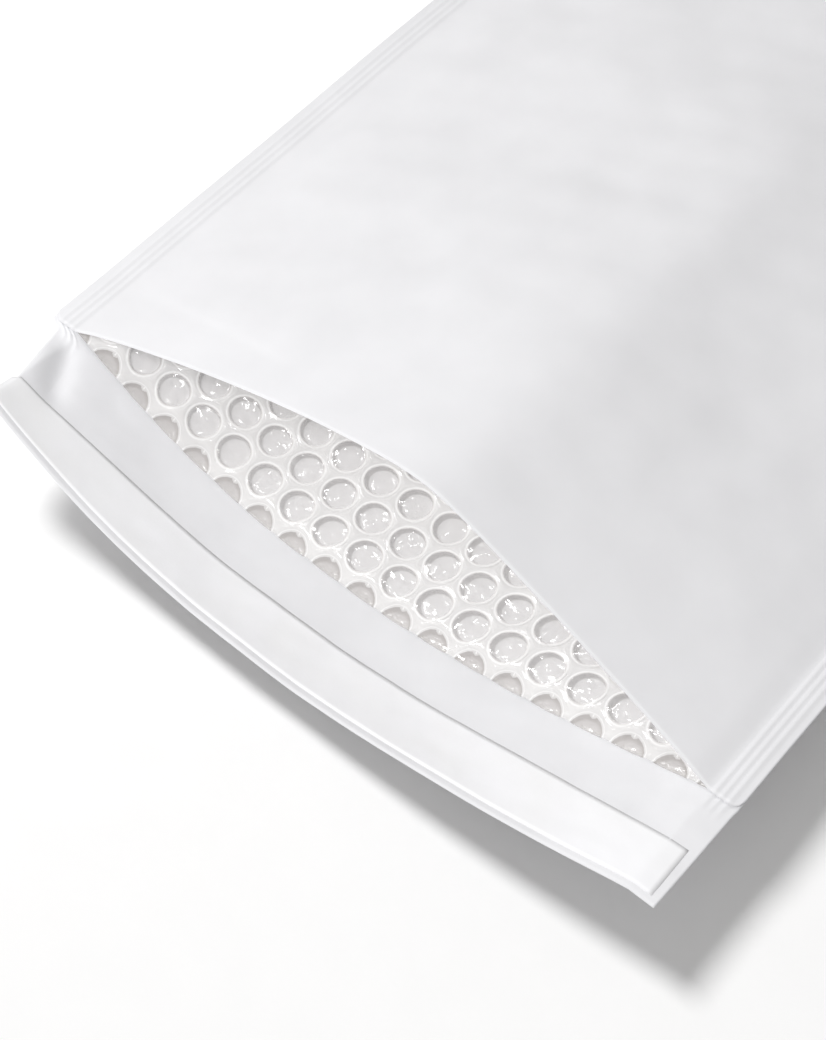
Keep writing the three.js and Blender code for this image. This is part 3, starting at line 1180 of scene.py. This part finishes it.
    def base(self, u: np.ndarray, v: np.ndarray) -> np.ndarray:
        """Places on the pocket's wall for places on the flat film: along the back panel, round, and back.

        Args:
            u: distance across the flat film from its middle.
            v: distance from the film's cut edge at the mouth.

        Returns:
            An (n, 3) array of places in millimetres.
        """
        form = self.form
        half = self.flat_width / 2.0
        arc_share = (u + half) / self.flat_width
        past = np.sign(u) * np.maximum(np.abs(u) - half, 0.0) / form.seam_width
        on_front = v > self.back_run + self.fold_run
        folding = (v > self.back_run) & ~on_front
        back_share = clamp01(v / self.back_run)
        front_run = self.total - self.back_run - self.fold_run
        front_share = clamp01((v - self.back_run - self.fold_run) / front_run)
        across_back = self.back_arcs.across(arc_share, back_share) + past
        across_front = self.front_arcs.across(arc_share, 1.0 - front_share) + past
        across = np.where(on_front, across_front, across_back)
        straight = form.length - form.fold_depth(across)
        cut_edge = -self.lip_bulge * crown(across) + 0.6 * (1 - crown(across))
        along_back = lerp(cut_edge, straight, back_share)
        along_front = lerp(straight, self.front_start, front_share)
        z_back = self.wall_height(across, along_back)
        free = smoothstep((1.0 - np.abs(across)) / 0.06)
        sealed = smoothstep((np.abs(across) - 0.96) / 0.04)
        front_gap = self.wall_gap + self.front_slack * free + self.sealed_slack * sealed
        z_front = form.front(across, along_front) - front_gap
        angle = math.pi * clamp01((v - self.back_run) / self.fold_run)
        top = form.front(across, straight) - front_gap
        low = form.back(across, straight) + self.wall_gap
        along_fold = straight + (form.fold_depth(across) - self.wall_gap) * np.sin(angle)
        z_fold = lerp(top, low, (1.0 + np.cos(angle)) / 2.0)
        along = np.where(on_front, along_front, np.where(folding, along_fold, along_back))
        z = np.where(on_front, z_front, np.where(folding, z_fold, z_back))
        return np.stack([form.x_of(across, np.maximum(along, 0.0)), form.mouth_y + along, z], axis=-1)

    def wall_height(self, across: np.ndarray, along: np.ndarray) -> np.ndarray:
        """The back panel's height, or the flap's past the mouth line, with a small gap above it.

        Args:
            across: places across.
            along: distances from the mouth line.

        Returns:
            The height at which the lining lies.
        """
        form = self.form
        inside = np.clip(across, -1.0, 1.0)
        x = form.x_of(across, np.zeros_like(across))
        share = np.maximum(-along, 0.0) / form.flap_length(inside)
        return np.where(along < 0.0, form.flap_height(x, share), form.back(across, along)) + self.wall_gap

    def bend(self, u: np.ndarray, v: np.ndarray, height: np.ndarray) -> np.ndarray:
        """base + normal * height, with the normal from the cross product of small steps along u and v.

        Args:
            u: places across the flat film.
            v: distances from the cut edge.
            height: heights above the pocket's wall.

        Returns:
            An (n, 3) array of places in millimetres.
        """
        step = 0.25
        along_u = self.base(u + step, v) - self.base(u - step, v)
        along_v = self.base(u, v + step) - self.base(u, v - step)
        normal = np.cross(along_u, along_v)
        normal /= np.maximum(np.linalg.norm(normal, axis=1, keepdims=True), 1e-9)
        return self.base(u, v) + normal * height[:, None]

    def trimmed(
        self, points: np.ndarray, triangles: np.ndarray
    ) -> tuple[np.ndarray, np.ndarray, np.ndarray]:
        """Cuts the flat formed film at its four edges, and splits what is cut into triangles.

        Args:
            points: (u, v) of each point.
            triangles: corner numbers.

        Returns:
            Points (u, v), triangles, and the border's edges, each as two point numbers.
        """
        web = bpy.data.meshes.new("flat_web")
        web.from_pydata(np.pad(points, ((0, 0), (0, 1))).tolist(), [], triangles.tolist())
        mesh = bmesh.new()
        mesh.from_mesh(web)
        side = self.flat_width / 2.0 + self.web
        cuts = (
            ((0.0, 0.0, 0.0), (0.0, -1.0, 0.0)),
            ((0.0, self.total, 0.0), (0.0, 1.0, 0.0)),
            ((side, 0.0, 0.0), (1.0, 0.0, 0.0)),
            ((-side, 0.0, 0.0), (-1.0, 0.0, 0.0)),
        )
        for place, outward in cuts:
            geometry = mesh.verts[:] + mesh.edges[:] + mesh.faces[:]
            bmesh.ops.bisect_plane(
                mesh, geom=geometry, dist=1e-4, plane_co=place, plane_no=outward, clear_outer=True
            )
        border = [v for v in mesh.verts if v.is_boundary]
        bmesh.ops.remove_doubles(mesh, verts=border, dist=0.05)
        bmesh.ops.triangulate(mesh, faces=mesh.faces[:])
        mesh.to_mesh(web)
        mesh.free()
        places = np.empty(len(web.vertices) * 3, dtype=np.float32)
        web.vertices.foreach_get("co", places)
        corners = np.empty(len(web.loops), dtype=np.int32)
        web.loops.foreach_get("vertex_index", corners)
        bpy.data.meshes.remove(web)
        flat = places.reshape(-1, 3)[:, :2].astype(float)
        faces = corners.reshape(-1, 3).astype(int)
        return flat, faces, self.border_edges(faces, len(flat))

    def border_edges(self, faces: np.ndarray, count: int) -> np.ndarray:
        """The sides of triangles that no other triangle runs along the other way.

        Args:
            faces: corner numbers.
            count: how many points there are.

        Returns:
            Each border edge as two point numbers, in its triangle's own direction.
        """
        sides = np.concatenate([faces[:, (0, 1)], faces[:, (1, 2)], faces[:, (2, 0)]])
        forwards = sides[:, 0] * count + sides[:, 1]
        backwards = sides[:, 1] * count + sides[:, 0]
        return sides[~np.isin(forwards, backwards)]

    def flat_film(self, flat: np.ndarray, edges: np.ndarray) -> tuple[np.ndarray, np.ndarray, np.ndarray]:
        """The flat film: a triangulation inside the same border, fine near the mouth and coarse beyond.

        Args:
            flat: the trimmed formed film's points.
            edges: its border's edges.

        Returns:
            Points (u, v), triangles, and for each border point in rising order the point that repeats it.
        """
        border = np.unique(edges)
        side = self.flat_width / 2.0 + self.web
        u, v = self.centres()
        near = (v < self.fine_depth) & (np.abs(u) < side + self.pitch)
        fine, _ = self.cells(u[near], v[near], self.film_cell)
        fine = np.unique(np.round(fine, 3), axis=0)
        us = np.arange(-side + 4.0, side - 3.0, self.backing_step)
        vs = np.arange(self.fine_depth + self.pitch, self.total - 4.0, self.backing_step * 0.8)
        coarse = np.stack(np.meshgrid(us, vs), axis=-1).reshape(-1, 2)
        inside = np.concatenate([fine, coarse])
        margin = 0.6
        clear = (np.abs(inside[:, 0]) < side - margin) & (inside[:, 1] > margin)
        coordinates = list(map(Vector, np.concatenate([flat[border], inside[clear]])))
        links = np.searchsorted(border, edges).tolist()
        points, _, faces, origins, _, _ = delaunay_2d_cdt(coordinates, links, [], 1, 1e-5)
        order = np.full(len(coordinates), -1)
        for i, sources in enumerate(origins):
            order[list(sources)] = i
        corners = np.array(list(map(list, faces)))
        places = np.array(list(map(tuple, points)))
        at = places[corners]
        first, second = at[:, 1] - at[:, 0], at[:, 2] - at[:, 0]
        turn = first[:, 0] * second[:, 1] - first[:, 1] * second[:, 0]
        corners = np.where((turn < 0.0)[:, None], corners[:, ::-1], corners)
        return places, corners, order[: len(border)]

    def build(self) -> bpy.types.Object:
        """The whole lining, dressed and riding on the body: both films, with walls round their border.

        The cups lean a little towards the closed end. The film is so clear that it casts no shadow.

        Returns:
            The lining as one closed object.
        """
        flat, faces, edges = self.trimmed(*self.flat_cells())
        film, film_faces, border_order = self.flat_film(flat, edges)
        count = len(film)
        above = np.full(len(flat), -1)
        above[np.unique(edges)] = border_order
        start, stop = edges.T
        walls = np.stack([above[start], start + count, stop + count, above[stop]], axis=-1)
        top_height, _ = self.heights(*film.T)
        top_of_formed, formed_height = self.heights(*flat.T)
        top = self.bend(film[:, 0], film[:, 1], top_height)
        depth = clamp01((top_of_formed - formed_height) / self.bubble_height)
        lean_u, lean_v = self.lean
        formed = self.bend(flat[:, 0] + lean_u * depth, flat[:, 1] + lean_v * depth, formed_height)
        triangles = np.concatenate([film_faces, faces[:, ::-1] + count])
        piece = make_piece("bubble_film", np.concatenate([top, formed]), [triangles, walls])
        everywhere = np.concatenate([film, flat])
        reach, _, row = self.nearest(*everywhere.T)
        on_flat_film = np.arange(len(reach)) < count
        # The bubbles cut open at the mouth are marked to take the painted shade of the flat film's last
        # zone.
        collapsed = (row <= 0) & (reach < self.bubble_radius * 0.94) & on_flat_film
        add_attribute(piece, "bubble_radius", np.where(collapsed, self.cut_open_shade_mark, reach))
        dress(piece, Finish.FLAT_FILM, "bubble_lining")
        piece.data.materials.append(Finish.FORMED_FILM.value.build())
        layer = np.zeros(len(piece.data.polygons), dtype=np.int32)
        layer[len(film_faces) : len(triangles)] = 1
        piece.data.polygons.foreach_set("material_index", layer)
        piece.visible_shadow = False
        return piece


# ---------------------------------------------------------------- the strip on the flap


@dataclass
class FlapStrip:
    """The adhesive on the flap and the release liner that covers it."""

    form: EnvelopeForm
    liner_left: float = -108.5
    liner_right: float = 112.8
    end_share: float = 0.937
    liner_gap: float = 0.1
    liner: float = 0.05
    corner: float = 2.0
    adhesive_left: float = -104.0
    adhesive_right: float = 105.0
    adhesive: float = 0.06
    adhesive_inset_upper: float = 2.5
    adhesive_inset_lower: float = 2.0
    adhesive_gap: float = 0.005
    start_at: float = 18.6
    start_wander: float = 1.6
    start_slant: float = 0.018
    columns: int = 150
    rows: int = 14

    def start(self, x: np.ndarray) -> np.ndarray:
        """18.6 + 1.6 sin((x + 62) / 44) - 0.018 (x - 20): the liner's upper edge wanders along the flap.

        Args:
            x: places across, in millimetres.

        Returns:
            The upper edge's distance from the mouth line. The sine fades out at the left end.
        """
        wander = self.start_wander * np.sin((x + 62.0) / 44.0) * smoothstep((x + 108.0) / 60.0)
        return self.start_at + wander - self.start_slant * (x - 20.0)

    def end(self, x: np.ndarray) -> np.ndarray:
        """Distance of the liner's lower edge from the mouth line: a fixed share of the flap's length."""
        across = np.clip(x / self.form.half_chord_mouth, -1.0, 1.0)
        return self.form.flap_length(across) * self.end_share

    def strip(
        self, left: float, right: float, start: np.ndarray, end: np.ndarray, gap: np.ndarray
    ) -> np.ndarray:
        """A grid on the flap: x across, y between two lines, and a gap above the flap's middle surface.

        Args:
            left: the strip's left end.
            right: its right end.
            start: distance of its upper edge from the mouth line, for each column.
            end: distance of its lower edge, for each column.
            gap: height above the flap, for each row and column.

        Returns:
            The (rows, columns, 3) grid in millimetres.
        """
        form = self.form
        x = np.linspace(left, right, self.columns)[None, :]
        t = np.linspace(0.0, 1.0, self.rows)[:, None]
        away = lerp(start, end, t)
        across = np.clip(x / form.half_chord_mouth, -1.0, 1.0)
        share = away / form.flap_length(across)
        height = form.flap_height(x, share) + gap
        return np.stack(np.broadcast_arrays(x, form.mouth_y - away, height), axis=-1)

    def build_adhesive(self) -> bpy.types.Object:
        """The adhesive: a flat bead that keeps clear of the liner's edges.

        Returns:
            The bead as a closed sheet.
        """
        x = np.linspace(self.adhesive_left, self.adhesive_right, self.columns)[None, :]
        start = self.start(x) + self.adhesive_inset_upper
        end = self.end(x) - self.adhesive_inset_lower
        gap = self.form.paper / 2.0 + self.adhesive_gap + self.adhesive / 2.0
        gaps = np.full((self.rows, 1), gap)
        grid = self.strip(self.adhesive_left, self.adhesive_right, start, end, gaps)
        piece = closed_sheet("adhesive_bead", grid, self.adhesive)
        dress(piece, Finish.ADHESIVE, "adhesive_strip")
        return piece

    def build_liner(self) -> bpy.types.Object:
        """The liner: a paper strip whose free upper edge wavers a little, with rounded left corners.

        Returns:
            The liner as a closed sheet.
        """
        x = np.linspace(self.liner_left, self.liner_right, self.columns)[None, :]
        t = np.linspace(0.0, 1.0, self.rows)[:, None]
        into = np.clip(self.liner_left + self.corner - x, 0.0, self.corner)
        rounding = self.corner - np.sqrt(np.maximum(self.corner**2 - into**2, 0.0))
        start = self.start(x) + rounding
        end = self.end(x) - rounding
        wave = 0.5 + 0.5 * np.sin(x / 13.0) * np.sin(x / 29.0 + 1.0)
        lift = 0.03 * wave * smoothstep(1.0 - t / 0.4)
        hem = 0.05 * smoothstep((t - 0.7) / 0.3) + 0.06 * smoothstep(1.0 - t / 0.5)
        gap = self.form.paper / 2.0 + self.liner_gap + lift - hem
        grid = self.strip(self.liner_left, self.liner_right, start, end, gap)
        piece = closed_sheet("liner_strip", grid, self.liner)
        dress(piece, Finish.LINER, "release_liner")
        return piece


def dress(piece: bpy.types.Object, finish: Finish, node: str) -> None:
    """Gives a piece its finish and its body, and hides the CAD node that it stands for.

    Args:
        piece: the finished object.
        finish: which finish it takes.
        node: the CAD node that it replaces.
    """
    piece.data.materials.append(finish.value.build())
    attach(piece, BODY)
    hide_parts(node)


# ---------------------------------------------------------------- floor, light and camera


@dataclass(frozen=True)
class Lamp:
    """A round area light: degrees from +X towards +Y, degrees up, metres away and across, and watts."""

    azimuth: float
    elevation: float
    distance: float
    size: float
    watts: float


@dataclass
class Studio:
    """A pale sweep under an even sky, with keys from the left, a soft front light and small glint lights.

    The floor, the envelope and its film are lit apart, so that the floor stays white while the paper keeps
    its greys and the film its sparkle.
    """

    focal_mm: float = 74.1
    camera_at: tuple[float, float, float] = (0.1933, -0.37235, 0.4972)
    look_at: tuple[float, float, float] = (0.00258, -0.14125, 0.0210)
    floor_size: float = 4.0
    aim_at: tuple[float, float, float] = (0.0, -0.12, 0.02)
    sky: float = 0.425
    sky_colour: tuple[float, float, float, float] = (1.0, 0.991, 0.984, 1.0)
    sweep_key: Lamp = Lamp(166.0, 49.0, 3.0, 0.9, 73.0)
    key: Lamp = Lamp(160.0, 52.0, 1.3, 0.38, 3.3)
    front: Lamp = Lamp(250.0, 50.0, 1.2, 0.5, 10.3)
    glints: tuple[Lamp, ...] = (
        Lamp(170.0, 52.0, 1.2, 0.16, 3.6),
        Lamp(190.0, 42.0, 1.2, 0.10, 2.0),
        Lamp(100.0, 46.0, 1.2, 0.12, 2.2),
        Lamp(222.0, 63.0, 1.2, 0.12, 1.2),
    )

    def __post_init__(self) -> None:
        """The collections that the lights are linked to: the floor, the envelope's pieces, its film."""
        self.sweep, self.envelope, self.film = (
            bpy.data.collections.new(name) for name in ("sweep", "envelope", "film")
        )
        for collection in (self.sweep, self.envelope, self.film):
            bpy.context.scene.collection.children.link(collection)

    def build_floor(self) -> None:
        """A large flat sheet just under the envelope."""
        half = self.floor_size / 2.0 / MM
        corners = half * np.array([(-1.0, -1.0, 0.0), (1.0, -1.0, 0.0), (1.0, 1.0, 0.0), (-1.0, 1.0, 0.0)])
        floor = make_piece("floor", corners, [np.array([[0, 1, 2, 3]])], smooth=False)
        floor.data.materials.append(Finish.FLOOR.value.build())
        self.sweep.objects.link(floor)

    def build_camera(self) -> None:
        """The camera, aimed by turning its -Z axis to the target with +Y up."""
        data = bpy.data.cameras.new("camera")
        data.lens = self.focal_mm
        camera = bpy.data.objects.new("camera", data)
        direction = Vector(self.look_at) - Vector(self.camera_at)
        camera.location = self.camera_at
        camera.rotation_euler = direction.to_track_quat("-Z", "Y").to_euler()
        bpy.context.scene.collection.objects.link(camera)
        bpy.context.scene.camera = camera

    def add_light(self, name: str, lamp: Lamp, lights: bpy.types.Collection) -> bpy.types.Object:
        """A round area light that faces the mouth of the envelope.

        Args:
            name: the light's name.
            lamp: where it stands, how large it is and how strong.
            lights: the collection of the pieces that it lights.

        Returns:
            The light.
        """
        data = bpy.data.lights.new(name, "AREA")
        data.shape = "DISK"
        data.size = lamp.size
        data.energy = lamp.watts
        light = bpy.data.objects.new(name, data)
        around, up = math.radians(lamp.azimuth), math.radians(lamp.elevation)
        out = Vector((math.cos(around) * math.cos(up), math.sin(around) * math.cos(up), math.sin(up)))
        light.location = Vector(self.aim_at) + out * lamp.distance
        light.rotation_euler = (-out).to_track_quat("-Z", "Y").to_euler()
        light.light_linking.receiver_collection = lights
        bpy.context.scene.collection.objects.link(light)
        return light

    def build_light(self) -> None:
        """Keys from the left, a front light without gloss, and the film's own small glint lights.

        The glint lights are blocked by the film alone, so the paper over the pocket throws no shade in it.
        """
        self.add_light("sweep_key", self.sweep_key, self.sweep)
        self.add_light("key", self.key, self.envelope)
        front = self.add_light("front", self.front, self.envelope)
        front.visible_glossy = False
        for number, lamp in enumerate(self.glints):
            glint = self.add_light(f"glint_{number}", lamp, self.film)
            glint.light_linking.blocker_collection = self.film
        world = bpy.data.worlds.new("even_sky")
        world.use_nodes = True
        background = world.node_tree.nodes["Background"]
        background.inputs["Color"].default_value = self.sky_colour
        background.inputs["Strength"].default_value = self.sky
        bpy.context.scene.world = world

    def build(self) -> None:
        """Floor, camera, lights, and a view transform that leaves whites white."""
        self.build_floor()
        self.build_camera()
        self.build_light()
        view = bpy.context.scene.view_settings
        view.view_transform = "Standard"
        view.look = "None"
        view.exposure = 0.0
        view.gamma = 1.0


def main() -> None:
    """Builds every piece in order, and reports each one."""
    logging.basicConfig(level=logging.INFO, format="%(message)s")
    _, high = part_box("paper_envelope")
    form = EnvelopeForm(mouth_y=high[1] / MM - PAST_THE_FOLD - EnvelopeForm.length)
    strip = FlapStrip(form)
    studio = Studio()
    studio.build()
    sheet = PaperEnvelope(form).build()
    lining = BubbleLining(form).build()
    for piece in (sheet, lining, strip.build_adhesive(), strip.build_liner()):
        studio.envelope.objects.link(piece)
        if piece.name == "bubble_film":
            studio.film.objects.link(piece)
        LOG.info("%s: %d faces", piece.name, len(piece.data.polygons))


if __name__ == "__main__":
    main()
